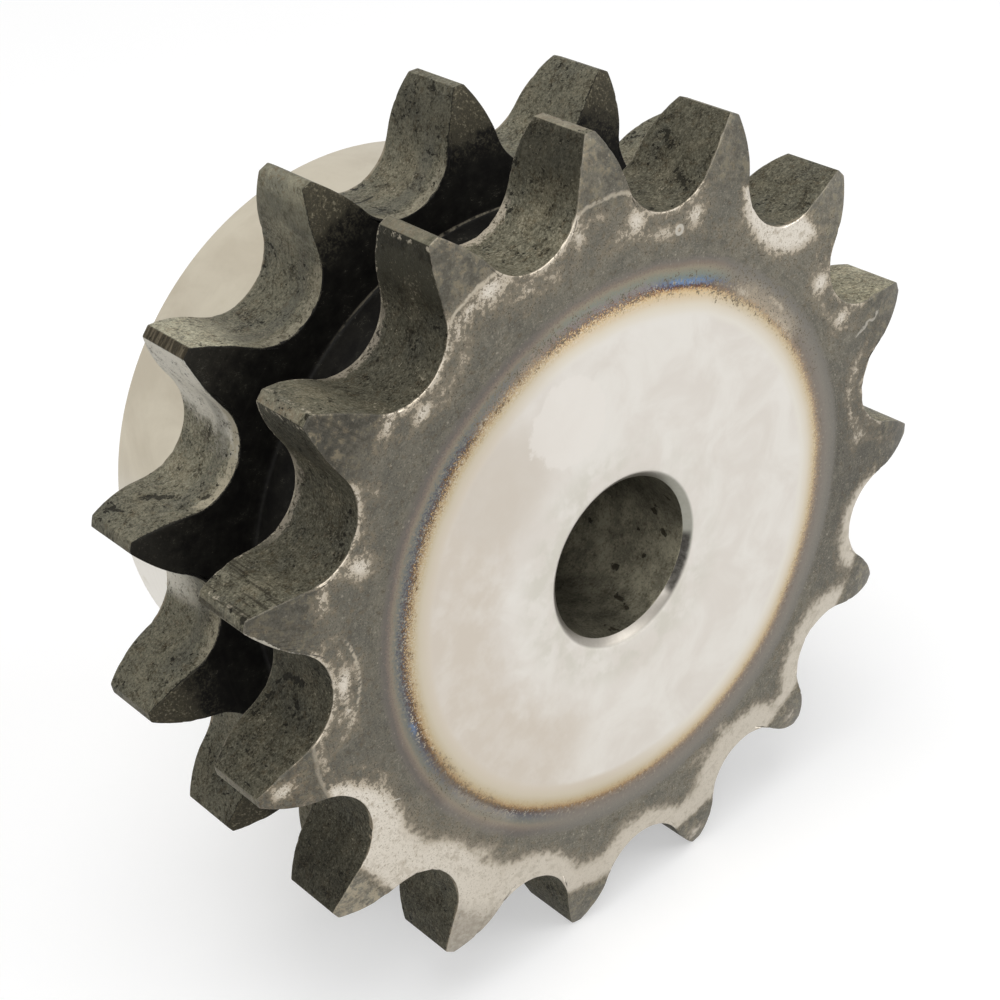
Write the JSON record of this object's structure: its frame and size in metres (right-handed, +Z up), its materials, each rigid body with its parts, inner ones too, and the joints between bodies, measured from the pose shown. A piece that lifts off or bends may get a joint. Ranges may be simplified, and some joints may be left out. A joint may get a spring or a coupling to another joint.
{
  "type": "chain sprocket",
  "caption": "Duplex roller-chain sprocket in a single piece of steel, with hardened teeth, a groove between the toothed rings, a hub behind and a plain through bore.",
  "frame": {"origin": "on the bore's axis, midway between the two toothed rings", "axes": "+Y along the bore from the plain face to the hub, +Z up through a tooth of each ring, +X to the right when looking at the plain face"},
  "size_m": [0.0816, 0.04, 0.0812],
  "materials": {
    "hardened_steel": "satin turned faces and hub, dark scaled heat-treated teeth with straw and blue temper colours"
  },
  "bodies": {
    "root": {"sprocket": "hardened_steel"}
  },
  "joints": []
}
